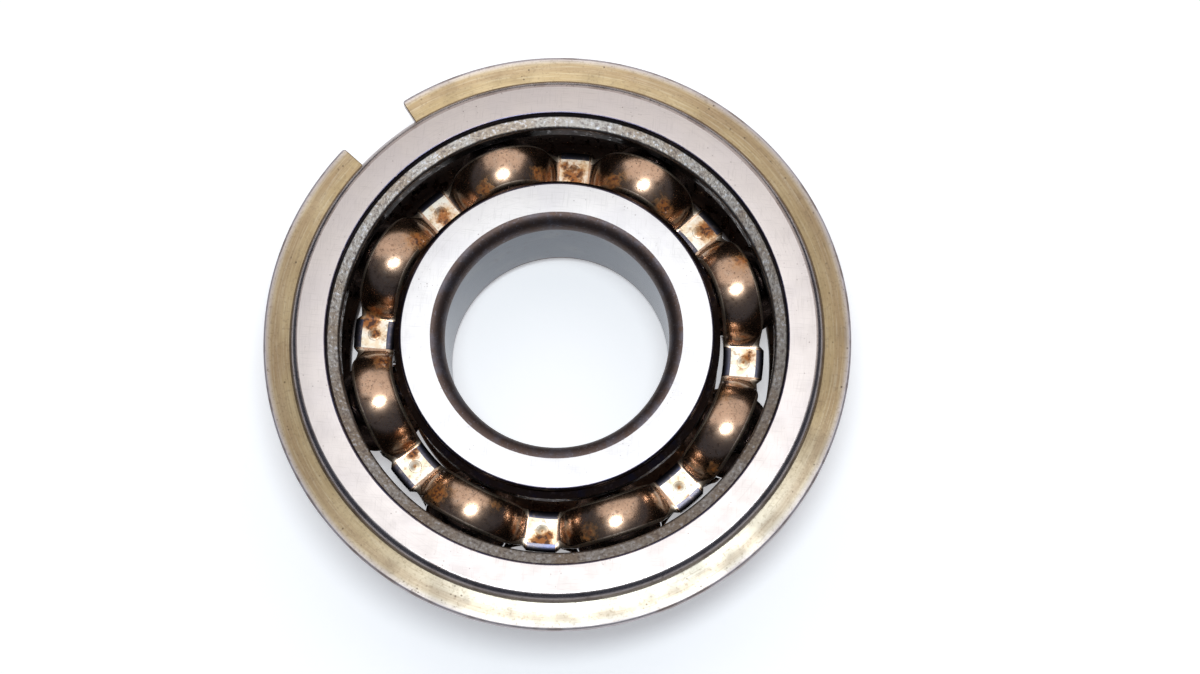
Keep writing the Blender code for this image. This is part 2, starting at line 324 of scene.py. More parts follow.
def add_piece(node, bm, finishes, body):
    """Make an object of a bmesh, with its finishes, and let it stand for a CAD node on its body."""
    bmesh.ops.recalc_face_normals(bm, faces=bm.faces[:])
    name = f"{node}_fine"
    mesh = bpy.data.meshes.new(name)
    bm.to_mesh(mesh)
    bm.free()
    for finish in finishes:
        mesh.materials.append(finish)
    piece = bpy.data.objects.new(name, mesh)
    bpy.context.scene.collection.objects.link(piece)
    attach(piece, body)
    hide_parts(node)
    return piece


def ring_vert(bm, radius, angle, height):
    """A vertex at a radius, an angle round the axis and a height."""
    return bm.verts.new((radius * math.cos(angle) * MM, radius * math.sin(angle) * MM, height * MM))


def turned_bmesh(points, palette, angles, closed=True):
    """Spin an outline through a list of angles. Returns the bmesh and its rows of vertices."""
    bm = bmesh.new()
    rows = [[ring_vert(bm, radius, angle, height) for radius, height, _ in points] for angle in angles]
    pairs = zip(rows, rows[1:] + rows[:1]) if closed else zip(rows, rows[1:])
    for row, following in pairs:
        for i, point in enumerate(points):
            j = (i + 1) % len(points)
            face = bm.faces.new((row[i], following[i], following[j], row[j]))
            face.material_index = palette.index(point[2])
            face.smooth = True
    return bm, rows


def palette_of(points):
    """The names of an outline's finishes, each once."""
    return sorted({point[2] for point in points})


def turned_piece(node, corners, finishes, body):
    """A full ring from its corners, in place of a CAD node."""
    points = outline(corners)
    palette = palette_of(points)
    angles = [2 * math.pi * k / RING_SEGMENTS for k in range(RING_SEGMENTS)]
    bm, _ = turned_bmesh(points, palette, angles)
    add_piece(node, bm, [finishes[key] for key in palette], body)


def flipped(corners, last_finish):
    """The same corners on the back half, in reverse order, so that each stretch keeps its finish."""
    turned = []
    for i in range(len(corners) - 1, -1, -1):
        finish = corners[i - 1].finish if i > 0 else last_finish
        turned.append(corners[i]._replace(height=WIDTH - corners[i].height, finish=finish))
    return turned


# ---------------------------------------------------------------- rings


def outer_ring_corners():
    """Outline of the outer ring, from the front face's inner edge through the raceway to the groove."""
    race_bottom = PITCH_RADIUS + BALL_RADIUS + RUNNING_GAP
    race_centre = race_bottom - RACEWAY_RADIUS
    race_angle = math.acos((OUTER_LAND_RADIUS - race_centre) / RACEWAY_RADIUS)
    race = arc(
        (race_centre, MID_HEIGHT),
        (RACEWAY_RADIUS, RACEWAY_RADIUS),
        race_angle,
        -race_angle,
        RACE_STEPS,
    )
    recess_floor = WIDTH - RECESS_DEPTH
    front = [
        Corner(RECESS_WALL_RADIUS, WIDTH, FACE_EDGE, "wall", "lip"),
        Corner(RECESS_WALL_RADIUS, recess_floor, RECESS_CORNER, "recess"),
        Corner(OUTER_LAND_RADIUS, recess_floor - RECESS_FALL, LAND_EDGE, "land", "recess"),
    ]
    back_corner = arc(
        (OUTSIDE_RADIUS - OUTER_CORNER_RADIAL, BACK_CORNER_AXIAL),
        (OUTER_CORNER_RADIAL, BACK_CORNER_AXIAL),
        -math.pi / 2,
        0,
        BACK_CORNER_STEPS,
    )
    groove_far = WIDTH - GROOVE_FAR_FLANK
    groove_near = groove_far + GROOVE_WIDTH
    corner_height = WIDTH - FRONT_CORNER_AXIAL
    cut_angle = math.asin((groove_near - corner_height) / FRONT_CORNER_AXIAL)
    front_corner = arc(
        (OUTSIDE_RADIUS - OUTER_CORNER_RADIAL, corner_height),
        (OUTER_CORNER_RADIAL, FRONT_CORNER_AXIAL),
        cut_angle,
        math.pi / 2,
        CORNER_STEPS,
    )
    groove = [
        Corner(OUTSIDE_RADIUS, groove_far, GROUND_EDGE, "groove", "outside"),
        Corner(GROOVE_RADIUS, groove_far, CRISP_EDGE, "groove"),
        Corner(GROOVE_RADIUS, groove_near, CRISP_EDGE, "groove"),
        Corner(*front_corner[0], CRISP_EDGE, "corner"),
    ]
    corners = front + plain_corners(race[:-1], "race") + [Corner(*race[-1], 0.0, "land")]
    corners += flipped(front, "face")
    corners += plain_corners(back_corner[:-1], "corner") + [Corner(*back_corner[-1], 0.0, "outside")]
    corners += groove
    corners += plain_corners(front_corner[1:-1], "corner") + [Corner(*front_corner[-1], 0.0, "face")]
    return corners


def inner_ring_corners():
    """Outline of the inner ring: bore and its big corners, faces, reduced ends, lands and raceway."""
    race_bottom = PITCH_RADIUS - BALL_RADIUS - RUNNING_GAP
    race_centre = race_bottom + RACEWAY_RADIUS
    race_angle = math.acos((race_centre - INNER_LAND_RADIUS) / RACEWAY_RADIUS)
    race = arc(
        (race_centre, MID_HEIGHT),
        (RACEWAY_RADIUS, RACEWAY_RADIUS),
        math.pi - race_angle,
        math.pi + race_angle,
        RACE_STEPS,
    )
    bore_corner = arc(
        (BORE_RADIUS + BORE_CORNER_RADIAL, WIDTH - BORE_CORNER_AXIAL),
        (BORE_CORNER_RADIAL, BORE_CORNER_AXIAL),
        math.pi,
        math.pi / 2,
        CORNER_STEPS,
    )
    step_top = WIDTH - INNER_END_LENGTH
    front = plain_corners(bore_corner[:-1], "bore_corner") + [
        Corner(*bore_corner[-1], 0.0, "face"),
        Corner(INNER_END_RADIUS, WIDTH, FACE_EDGE, "end", "lip"),
        Corner(INNER_END_RADIUS, step_top, GROUND_EDGE, "end"),
        Corner(INNER_LAND_RADIUS, step_top - INNER_STEP_LENGTH, CRISP_EDGE, "land"),
    ]
    corners = front + plain_corners(race[:-1], "race") + [Corner(*race[-1], 0.0, "land")]
    return corners + flipped(front, "bore")


def snap_ring_piece(finishes):
    """The snap ring, with its ends cut square across and their outer corners rounded."""
    corners = [
        Corner(SNAP_INSIDE_RADIUS, SNAP_LOW.z, CRISP_EDGE, "flat"),
        Corner(SNAP_OUTSIDE_RADIUS, SNAP_LOW.z, SHEARED_EDGE, "rim"),
        Corner(SNAP_OUTSIDE_RADIUS, SNAP_HIGH.z, SHEARED_EDGE, "flat", "rim"),
        Corner(SNAP_INSIDE_RADIUS, SNAP_HIGH.z, CRISP_EDGE, "flat"),
    ]
    points = outline(corners)
    palette = palette_of(points)
    start = SNAP_GAP_CENTRE + SNAP_GAP_ANGLE / 2
    sweep = 2 * math.pi - SNAP_GAP_ANGLE
    end_angles = [step / SNAP_OUTSIDE_RADIUS for step in SNAP_END_STEPS]
    middle = [sweep * k / RING_SEGMENTS for k in range(2, RING_SEGMENTS - 1)]
    turns = end_angles + middle + [sweep - angle for angle in reversed(end_angles)]
    bm, rows = turned_bmesh(points, palette, [start + turn for turn in turns], closed=False)
    shape_snap_ends(rows)
    for row in (rows[0], rows[-1]):
        cap = bm.faces.new(row)
        cap.material_index = palette.index("rim")
    add_piece("snap_ring", bm, [finishes[key] for key in palette], "snap")


def shape_snap_ends(rows):
    """Round the outer corners of the snap ring's ends in plan, and break the edges of its end faces.

    The eighth power keeps the rounding to the outermost part of the ring's width.
    """
    middle_radius = (SNAP_INSIDE_RADIUS + SNAP_OUTSIDE_RADIUS) / 2
    middle_height = (SNAP_LOW.z + SNAP_HIGH.z) / 2
    half_width = (SNAP_OUTSIDE_RADIUS - SNAP_INSIDE_RADIUS) / 2
    half_height = (SNAP_HIGH.z - SNAP_LOW.z) / 2
    for index, step in enumerate(SNAP_END_STEPS):
        missing = SNAP_END_CORNER - step
        pull = SNAP_END_CORNER - math.sqrt(SNAP_END_CORNER**2 - missing**2)
        shy = max(0.0, SNAP_END_EDGE - step)
        inset = SNAP_END_EDGE - math.sqrt(SNAP_END_EDGE**2 - shy**2)
        for row in (rows[index], rows[-1 - index]):
            for vert in row:
                radius = math.hypot(vert.co.x, vert.co.y) / MM
                across = (radius - middle_radius) / half_width
                upward = (vert.co.z / MM - middle_height) / half_height
                outward = max(0.0, across) ** 8
                new_radius = radius - outward * pull - across * inset
                vert.co.x *= new_radius / radius
                vert.co.y *= new_radius / radius
                vert.co.z -= upward * inset * MM


# ---------------------------------------------------------------- cage


def sphere_section(radius, dome_radius, base):
    """Half a pocket's section at one radius, from the middle of a pad to the top of the dome.

    The points are (angle from the pocket's centre, height). They are drawn as (half-chord, height),
    so that the dome is a true sphere round the ball. The bend is an arc that touches the dome and the
    pad's edge: the pads' sides are parallel, and the bend opens out towards the rim.
    """
    offset = radius - PITCH_RADIUS
    span = 2 * math.sqrt(radius * PITCH_RADIUS)
    dome = math.sqrt(dome_radius**2 - offset**2)
    foot = span * math.sin((PITCH_ANGLE / 2 - math.asin(PAD_HALF_WIDTH / radius)) / 2)
    bend = (foot**2 + base**2 - dome**2) / (2 * (dome - base))
    touch = math.atan2(base + bend, foot)
    section = []
    for step in range(PAD_STEPS):
        sideways = PAD_HALF_WIDTH * step / PAD_STEPS
        section.append((PITCH_ANGLE / 2 - math.asin(sideways / radius), base))
    for step in range(BEND_STEPS):
        turn = (math.pi / 2 - touch) * step / BEND_STEPS
        chord = foot - bend * math.sin(turn)
        section.append((2 * math.asin(chord / span), base + bend - bend * math.cos(turn)))
    for step in range(DOME_STEPS + 1):
        rise = touch + (math.pi / 2 - touch) * step / DOME_STEPS
        section.append((2 * math.asin(dome * math.cos(rise) / span), dome * math.sin(rise)))
    return section


def smooth(share):
    """A share from 0 to 1 that leaves 0 and reaches 1 gently."""
    return share * share * (3 - 2 * share)


def pad_share(station):
    """1 on the pad, falling smoothly to 0 along the bend."""
    return 1 - smooth(min(1.0, max(0.0, (station - PAD_STEPS) / BEND_STEPS)))


def rolled_edge(edge, inward, roll):
    """The sheet's top edge, from the flat top down to its side: (radius, share of the thickness)."""
    points = []
    for step in range(ROLL_STEPS + 1):
        turn = math.pi / 2 * step / ROLL_STEPS
        radius = edge + inward * roll * (1 - math.sin(turn))
        points.append((radius, 1 - ROLL_DROP * (1 - math.cos(turn))))
    return points


def even(start, end, steps):
    """The places between two (radius, share) points, both left out."""
    (r0, s0), (r1, s1) = start, end
    return [(r0 + (r1 - r0) * k / steps, s0 + (s1 - s0) * k / steps) for k in range(1, steps)]


def notch(station):
    """How far the sheet's outer edge is cut in at a station."""
    past = max(0, station - PAD_STEPS)
    left = max(0.0, 1 - past / NOTCH_STEPS)
    return NOTCH_DEPTH * min(1.0, past / NOTCH_START_STEPS) * smooth(left)


def sheet_loop(roll, high):
    """The sheet's cross-section out to a radius: (radius, share of the thickness, next finish)."""
    low = CAGE_INSIDE_RADIUS
    inner_roll = list(reversed(rolled_edge(low, 1, roll)))
    outer_roll = rolled_edge(high, -1, roll)
    foot_share = FOOT_EDGE / SHEET
    inner_foot = [
        (low + FOOT_EDGE, 0.0),
        (low + FOOT_EDGE * FOOT_ROUNDING, foot_share * FOOT_ROUNDING),
        (low, foot_share),
    ]
    outer_foot = [(high + low - radius, share) for radius, share in reversed(inner_foot)]
    top = even(inner_roll[-1], outer_roll[0], TOP_STEPS)
    outer_side = even(outer_roll[-1], outer_foot[0], SIDE_STEPS)
    bottom = even(outer_foot[-1], inner_foot[0], TOP_STEPS)
    inner_side = even(inner_foot[-1], inner_roll[0], SIDE_STEPS)
    loop = [(*point, "roll") for point in inner_roll[:-1]]
    loop += [(*point, "pad") for point in [inner_roll[-1], *top]]
    loop += [(*point, "roll") for point in outer_roll]
    loop += [(*point, "dome") for point in [*outer_side, *outer_foot]]
    loop += [(*point, "inside") for point in bottom]
    loop += [(*point, "dome") for point in [*inner_foot, *inner_side]]
    return loop


def cage_sections():
    """The sheet's cross-section at each station: a list of (radius, angle, height, finish)."""
    sections = []
    for station in range(PAD_STEPS + BEND_STEPS + DOME_STEPS + 1):
        roll = DOME_ROLL + (PAD_ROLL - DOME_ROLL) * pad_share(station)
        section = []
        for radius, share, finish in sheet_loop(roll, CAGE_OUTSIDE_RADIUS - notch(station)):
            outside = sphere_section(radius, POCKET_RADIUS + SHEET, SHEET)[station]
            inside = sphere_section(radius, POCKET_RADIUS, 0.0)[station]
            angle = inside[0] + (outside[0] - inside[0]) * share
            height = inside[1] + (outside[1] - inside[1]) * share
            # Past the pad, the rolled edges of the domes take a pale painted highlight.
            if station > PAD_STEPS:
                finish = {"pad": "dome", "roll": "worn"}.get(finish, finish)
            section.append((radius, angle, height, finish))
        sections.append(section)
    return sections


def cage_half_piece(node, side, sections, finishes):
    """One pressed cage half as a closed sheet, with bright pads between its dark pockets."""
    palette = ["dome", "inside", "pad", "roll", "worn"]
    bm = bmesh.new()
    rows = []
    top_station = len(sections) - 1
    order = [(station, -1) for station in range(top_station)]
    order += [(station, 1) for station in range(top_station, 0, -1)]
    for pocket in range(BALL_COUNT):
        centre = (pocket + 0.5) * PITCH_ANGLE
        for station, direction in order:
            row = []
            for radius, angle, height, _ in sections[station]:
                z = MID_HEIGHT + side * (CAGE_GAP / 2 + height)
                row.append(ring_vert(bm, radius, centre + direction * angle, z))
            rows.append((row, sections[station]))
    for (row, section), (following, next_section) in zip(rows, rows[1:] + rows[:1]):
        for i in range(len(row)):
            j = (i + 1) % len(row)
            face = bm.faces.new((row[i], following[i], following[j], row[j]))
            same = section[i][3] == next_section[i][3]
            face.material_index = palette.index(section[i][3] if same else "dome")
            face.smooth = True
    paint_stains(add_piece(node, bm, [finishes[key] for key in palette], "cage"))


def paint_stains(piece):
    """Store how rusty each point of a piece of the cage is, from 0 to 1."""
    stains = list(STAINS)
    for index in range(BALL_COUNT):
        degrees = math.degrees(PITCH_ANGLE * index)
        stains.append(Stain(degrees, RIVET_CIRCLE_RADIUS, RIVET_STAIN_SIZE, RIVET_STAIN_STRENGTH))
    values = []
    for vert in piece.data.vertices:
        rust = 0.0
        for stain in stains:
            turn = math.radians(stain.degrees)
            spot = Vector((stain.radius * math.cos(turn), stain.radius * math.sin(turn)))
            distance = (Vector(vert.co[:2]) / MM - spot).length
            rust = max(rust, stain.strength * math.exp(-((distance / stain.size) ** 2)))
        values.append(rust)
    layer = piece.data.attributes.new("rust", "FLOAT", "POINT")
    layer.data.foreach_set("value", values)


# ---------------------------------------------------------------- rivets and balls


def rivet_pieces(finish):
    """The rivets: a shank with a low crowned head at each end."""
    crown = []
    for step in range(RIVET_HEAD_STEPS + 1):
        share = step / RIVET_HEAD_STEPS
        swell = (1 + math.cos(math.pi * share)) / 2
        crown.append((RIVET_HEAD_RADIUS * share, RIVET_UNDER_HEAD + RIVET_HEAD_HEIGHT * swell))
    upper = crown[1:] + [(RIVET_HEAD_RADIUS, SHEET), (RIVET_RADIUS, SHEET)]
    profile = upper + [(radius, -height) for radius, height in reversed(upper)]
    for index in range(BALL_COUNT):
        low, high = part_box(f"rivet_{index + 1}")
        bm = bmesh.new()
        turns = [2 * math.pi * step / RIVET_SEGMENTS for step in range(RIVET_SEGMENTS)]
        rows = [[ring_vert(bm, radius, turn, height) for radius, height in profile] for turn in turns]
        for row, following in zip(rows, rows[1:] + rows[:1]):
            for i in range(len(profile) - 1):
                bm.faces.new((row[i], following[i], following[i + 1], row[i + 1])).smooth = True
        for end, height in ((0, crown[0][1]), (-1, -crown[0][1])):
            pole = bm.verts.new((0, 0, height * MM))
            for row, following in zip(rows, rows[1:] + rows[:1]):
                bm.faces.new((row[end], following[end], pole)).smooth = True
        bmesh.ops.translate(bm, verts=bm.verts[:], vec=(low + high) / 2)
        paint_stains(add_piece(f"rivet_{index + 1}", bm, [finish], "cage"))


def ball_pieces(finish):
    """The balls: a finely divided cube blown up to a sphere, each turned its own way."""
    for index, centre in enumerate(BALL_CENTRES):
        bm = bmesh.new()
        bmesh.ops.create_cube(bm, size=2.0)
        bmesh.ops.subdivide_edges(bm, edges=bm.edges[:], cuts=BALL_CUTS, use_grid_fill=True)
        for vert in bm.verts:
            evened = Vector([math.tan(c * math.pi / 4) for c in vert.co])
            vert.co = evened.normalized() * BALL_RADIUS * MM
        tilt = Euler([index * turn for turn in BALL_TURNS]).to_matrix()
        bmesh.ops.rotate(bm, verts=bm.verts[:], cent=(0, 0, 0), matrix=tilt)
        bmesh.ops.translate(bm, verts=bm.verts[:], vec=centre)
        for face in bm.faces:
            face.smooth = True
        name = f"ball_{index + 1}"
        add_piece(name, bm, [finish], name)


# ---------------------------------------------------------------- steels


def scaled_colour(colour, share):
    """A colour at a share of its brightness."""
    return tuple(channel * share for channel in colour)


class Steel:
    """A procedural metal. Colour, roughness and relief are built up in layers, in millimetres."""

    def __init__(self, name, colour, roughness, anisotropic=0.0, turn=0.0):
        self.material = bpy.data.materials.new(name)
        self.material.use_nodes = True
        self.material.diffuse_color = (*colour, 1.0)
        self.tree = self.material.node_tree
        self.shader = self.tree.nodes["Principled BSDF"]
        self.shader.inputs["Metallic"].default_value = 1.0
        self.shader.inputs["Base Color"].default_value = (*colour, 1.0)
        self.shader.inputs["Roughness"].default_value = roughness
        if anisotropic:
            tangent = self.node("ShaderNodeTangent", direction_type="RADIAL", axis="Z")
            self.shader.inputs["Anisotropic"].default_value = anisotropic
            self.shader.inputs["Anisotropic Rotation"].default_value = turn
            self.tree.links.new(tangent.outputs[0], self.shader.inputs["Tangent"])
        metres = self.node("ShaderNodeTexCoord").outputs["Object"]
        self.place = self.scaled(metres, (1 / MM, 1 / MM, 1 / MM))

    def node(self, kind, **settings):
        """Add a node and set its properties."""
        made = self.tree.nodes.new(kind)
        for key, value in settings.items():
            setattr(made, key, value)
        return made

    def feed(self, socket, value):
        """Link an output to an input, or set the input's value."""
        if isinstance(value, bpy.types.NodeSocket):
            self.tree.links.new(value, socket)
        else:
            socket.default_value = value

    def maths(self, operation, first, second):
        """The result of a Math node."""
        made = self.node("ShaderNodeMath", operation=operation)
        self.feed(made.inputs[0], first)
        self.feed(made.inputs[1], second)
        return made.outputs[0]

    def scaled(self, vector, factors):
        """A vector with each of its components scaled."""
        made = self.node("ShaderNodeVectorMath", operation="MULTIPLY")
        self.feed(made.inputs[0], vector)
        made.inputs[1].default_value = factors
        return made.outputs[0]

    def coordinates(self):
        """The three coordinates of a point, in millimetres."""
        parts = self.node("ShaderNodeSeparateXYZ")
        self.feed(parts.inputs[0], self.place)
        return list(parts.outputs)

    def lathe(self, along, across):
        """A vector for marks drawn out round the axis, as turning and grinding leave them.

        It changes round the axis at the rate along, and outward and upward at the rate across.
        """
        x, y, z = self.coordinates()
        radius = self.radius()
        outward = self.maths("MULTIPLY", radius, across)
        upward = self.maths("MULTIPLY", z, across * AXIAL_FINENESS)
        joined = self.node("ShaderNodeCombineXYZ")
        self.feed(joined.inputs[0], self.maths("MULTIPLY", self.maths("DIVIDE", x, radius), along))
        self.feed(joined.inputs[1], self.maths("MULTIPLY", self.maths("DIVIDE", y, radius), along))
        self.feed(joined.inputs[2], self.maths("ADD", outward, upward))
        return joined.outputs[0]

    def radius(self):
        """Distance from the bearing's axis."""
        flat = self.node("ShaderNodeVectorMath", operation="LENGTH")
        self.feed(flat.inputs[0], self.scaled(self.place, (1.0, 1.0, 0.0)))
        return flat.outputs["Value"]

    def noise(self, vector, scale, detail=3.0, roughness=0.55):
        """Cloudy values from 0 to 1."""
        made = self.node("ShaderNodeTexNoise")
        self.feed(made.inputs["Vector"], vector)
        made.inputs["Scale"].default_value = scale
        made.inputs["Detail"].default_value = detail
        made.inputs["Roughness"].default_value = roughness
        return made.outputs[0]

    def cells(self, scale):
        """Distance from the nearest of many scattered points."""
        made = self.node("ShaderNodeTexVoronoi")
        self.feed(made.inputs["Vector"], self.place)
        made.inputs["Scale"].default_value = scale
        return made.outputs["Distance"]

    def mask(self, value, low, high):
        """0 up to low and 1 from high on, with a soft change. With low above high it falls instead."""
        made = self.node("ShaderNodeMapRange", interpolation_type="SMOOTHSTEP")
        self.feed(made.inputs["Value"], value)
        ends = (low, high, 0.0, 1.0) if low < high else (high, low, 1.0, 0.0)
        for socket, end in zip(made.inputs[1:5], ends):
            socket.default_value = end
        return made.outputs[0]

    def clouds(self, scale, low, high, detail=3.0, roughness=0.55):
        """A mask of cloudy patches, about 1 / scale millimetres across."""
        return self.mask(self.noise(self.place, scale, detail, roughness), low, high)

    def marks(self, along, across, detail=3.0, roughness=0.55):
        """Noise drawn out round the axis; see lathe() for the first two values."""
        return self.noise(self.lathe(along, across), 1.0, detail, roughness)

    def current(self, socket):
        """What feeds one of the shader's inputs now: a link's output or a plain value."""
        links = socket.links
        return links[0].from_socket if links else socket.default_value

    def tint(self, mask, colour, amount):
        """Lay an amount of a colour over what is there, where a mask is 1."""
        socket = self.shader.inputs["Base Color"]
        mix = self.node("ShaderNodeMix", data_type="RGBA")
        self.feed(mix.inputs[0], self.maths("MULTIPLY", mask, amount))
        under = self.current(socket)
        self.feed(mix.inputs[6], under if isinstance(under, bpy.types.NodeSocket) else tuple(under))
        mix.inputs[7].default_value = (*colour, 1.0)
        self.tree.links.new(mix.outputs[2], socket)

    def polish(self, mask, roughness):
        """Change the roughness to a value where a mask is 1."""
        socket = self.shader.inputs["Roughness"]
        mix = self.node("ShaderNodeMix", data_type="FLOAT")
        self.feed(mix.inputs[0], mask)
        self.feed(mix.inputs[2], self.current(socket))
        mix.inputs[3].default_value = roughness
        self.tree.links.new(mix.outputs[0], socket)

    def relief(self, height, depth):
        """Raise the surface by depth millimetres where a value is 1."""
        socket = self.shader.inputs["Normal"]
        bump = self.node("ShaderNodeBump")
        bump.inputs["Strength"].default_value = 1.0
        bump.inputs["Distance"].default_value = depth * MM
        self.feed(bump.inputs["Height"], height)
        if socket.links:
            self.tree.links.new(socket.links[0].from_socket, bump.inputs["Normal"])
        self.tree.links.new(bump.outputs[0], socket)


def ground_face(name, colour, shade):
    """A ground end face: faint mottling, crossed grinding lines, turning marks and dark specks."""
    steel = Steel(name, colour, 0.50, anisotropic=0.25)
    steel.tint(steel.clouds(0.16, 0.42, 0.62), shade, 0.55)
    one_way = steel.noise(steel.scaled(steel.place, (0.35, 7.0, 1.0)), 1.0, 2.0)
    other_way = steel.noise(steel.scaled(steel.place, (7.0, 0.35, 1.0)), 1.0, 2.0)
    lines = steel.maths("MAXIMUM", one_way, other_way)
    steel.tint(steel.mask(lines, 0.54, 0.72), scaled_colour(colour, 0.8), 0.6)
    turning = steel.marks(3.0, 9.0)
    steel.tint(steel.mask(turning, 0.52, 0.72), scaled_colour(colour, 0.8), 0.4)
    dirt = steel.clouds(0.5, 0.48, 0.66, 4.0)
    specks = steel.maths("MULTIPLY", steel.mask(steel.cells(1.5), 0.17, 0.07), dirt)
    steel.tint(specks, (0.14, 0.10, 0.09), 0.7)
    steel.polish(steel.clouds(0.4, 0.35, 0.7), 0.53)
    steel.relief(turning, 0.0022)
    steel.relief(lines, 0.0016)
    return steel.material


def dark_edge_and_painted_shade(name, colour):
    """Thin darkened edges and walls, with blue and brown patches; on the cage's rolled edges it is
    painted shade.
    """
    steel = Steel(name, colour, 0.28)
    steel.tint(steel.mask(steel.marks(9.0, 2.0), 0.45, 0.7), (0.05, 0.06, 0.12), 0.6)
    steel.tint(steel.clouds(1.4, 0.55, 0.7, 4.0), (0.22, 0.17, 0.15), 0.6)
    steel.relief(steel.noise(steel.place, 3.0, 4.0), 0.01)
    return steel.material


def forged_recess():
    """The grainy, unground floor of the recess inside the outer ring's face."""
    steel = Steel("recess_steel", (0.235, 0.213, 0.193), 0.42)
    steel.tint(steel.clouds(0.25, 0.42, 0.62), (0.185, 0.142, 0.105), 0.8)
    grain = steel.noise(steel.place, 2.4, 3.0, 0.6)
    steel.tint(steel.mask(grain, 0.50, 0.66), (0.10, 0.08, 0.075), 0.75)
    steel.tint(steel.mask(grain, 0.46, 0.30), (0.40, 0.40, 0.43), 0.7)
    steel.relief(grain, 0.05)
    return steel.material


def oily_race(name, colour, gloss, streak):
    """Lands and raceways under old oil, nearly black on the lands and the outer raceway with painted
    shade;
    with streaks, wet glints and pale specks of painted glint.
    """
    steel = Steel(name, colour, 0.45)
    steel.tint(steel.mask(steel.marks(4.0, 1.2), 0.42, 0.66), streak, 0.8)
    wet = steel.clouds(0.9, 0.50, 0.62)
    steel.polish(wet, gloss)
    # Painted glints: small pale specks scattered over the surface.
    steel.tint(steel.mask(steel.cells(1.1), 0.16, 0.05), (0.50, 0.40, 0.26), 0.4)
    steel.relief(steel.noise(steel.place, 1.1, 4.0), 0.06)
    return steel.material


def ground_bore():
    """The bore: smooth, with fine lines round it and lighter and browner patches."""
    steel = Steel("bore_steel", (0.165, 0.17, 0.182), 0.22, anisotropic=0.3)
    steel.shader.inputs["Specular Tint"].default_value = (0.76, 0.77, 0.79, 1.0)
    lines = steel.marks(5.0, 8.0)
    steel.tint(steel.mask(lines, 0.48, 0.7), (0.11, 0.112, 0.122), 0.6)
    steel.tint(steel.clouds(0.2, 0.5, 0.7), (0.22, 0.215, 0.21), 0.5)
    steel.tint(steel.clouds(0.9, 0.58, 0.7, 4.0), (0.12, 0.095, 0.085), 0.4)
    steel.relief(lines, 0.002)
    return steel.material


def turned_corner():
    """The outer ring's outside corners: turned, a little oily, and grey where they catch no light."""
    steel = Steel("outside_corner_steel", (0.44, 0.39, 0.375), 0.27, anisotropic=0.3, turn=0.25)
    lines = steel.marks(6.0, 4.0)
    steel.tint(steel.mask(lines, 0.48, 0.7), (0.28, 0.25, 0.27), 0.6)
    steel.tint(steel.clouds(0.3, 0.5, 0.68), (0.26, 0.21, 0.19), 0.6)
    steel.tint(steel.clouds(2.2, 0.58, 0.7, 4.0), (0.12, 0.09, 0.085), 0.6)
    steel.relief(lines, 0.004)
    return steel.material


def ground_outside():
    """The outer ring's outside: grinding lines round it, dull brown patches and short scratches."""
    steel = Steel("outside_steel", (0.56, 0.53, 0.51), 0.34, anisotropic=0.4, turn=0.25)
    lines = steel.marks(4.0, 12.0)
    steel.tint(steel.mask(lines, 0.48, 0.7), (0.36, 0.33, 0.33), 0.6)
    fretted = steel.mask(steel.marks(2.5, 0.25, 6.0, 0.7), 0.46, 0.78)
    steel.tint(fretted, (0.34, 0.27, 0.22), 0.5)
    steel.polish(fretted, 0.45)
    scratches = steel.marks(200.0, 0.6, 2.0)
    steel.tint(steel.mask(scratches, 0.66, 0.74), (0.72, 0.70, 0.68), 0.5)
    steel.relief(lines, 0.003)
    return steel.material


def hardened_corner():
    """The bore's big corners, black and rough from hardening, with blue-grey and brown patches."""
    steel = Steel("bore_corner_steel", (0.125, 0.09, 0.08), 0.54)
    steel.tint(steel.clouds(0.35, 0.45, 0.68), (0.155, 0.15, 0.18), 0.6)
    grain = steel.noise(steel.place, 2.6, 5.0, 0.65)
    steel.tint(steel.mask(grain, 0.55, 0.7), (0.31, 0.30, 0.36), 0.45)
    steel.tint(steel.clouds(0.8, 0.56, 0.7), (0.13, 0.075, 0.05), 0.5)
    steel.relief(grain, 0.035)
    return steel.material


def tempered_flat():
    """The snap ring: a straw-brown temper film, brushed round, with dark specks.

    A pale silver painted highlight lies towards the front right; the film is browner in a zone in
    the middle of the ring's width, and pale lilac along the rim.
    """
    steel = Steel("snap_flat_steel", (0.38, 0.28, 0.155), 0.40, anisotropic=0.75, turn=0.25)
    steel.tint(steel.clouds(0.07, 0.40, 0.65), (0.46, 0.36, 0.22), 0.8)
    steel.tint(steel.clouds(0.2, 0.48, 0.68, 4.0), (0.32, 0.225, 0.13), 0.6)
    x, y, _ = steel.coordinates()
    # Painted highlight: pale silver laid over the film towards the front right.
    painted_highlight_side = steel.maths("SUBTRACT", steel.maths("MULTIPLY", x, PAINTED_HIGHLIGHT_SLANT), y)
    steel.tint(steel.mask(painted_highlight_side, *PAINTED_HIGHLIGHT_REACH), (0.60, 0.575, 0.50), 0.85)
    radius = steel.radius()
    brown = steel.maths("MULTIPLY", steel.mask(radius, *BROWN_BEGINS), steel.mask(radius, *BROWN_ENDS))
    steel.tint(brown, (0.30, 0.205, 0.125), 0.45)
    steel.tint(steel.mask(radius, *LILAC_BEGINS), (0.50, 0.455, 0.46), 0.75)
    streaks = steel.marks(7.0, 5.0)
    steel.tint(steel.mask(streaks, 0.48, 0.72), (0.58, 0.50, 0.37), 0.35)
    steel.tint(steel.mask(streaks, 0.46, 0.30), (0.24, 0.175, 0.11), 0.35)
    stippling = steel.clouds(3.0, 0.52, 0.66, 4.0, 0.65)
    steel.tint(stippling, (0.20, 0.145, 0.09), 0.4)
    specks = steel.mask(steel.cells(0.9), 0.17, 0.05)
    dirt = steel.clouds(0.35, 0.46, 0.60)
    steel.tint(steel.maths("MULTIPLY", specks, dirt), (0.08, 0.055, 0.04), 0.8)
    steel.polish(steel.clouds(0.25, 0.4, 0.7), 0.5)
    steel.relief(streaks, 0.003)
    steel.relief(steel.noise(steel.place, 1.6, 4.0), 0.008)
    return steel.material


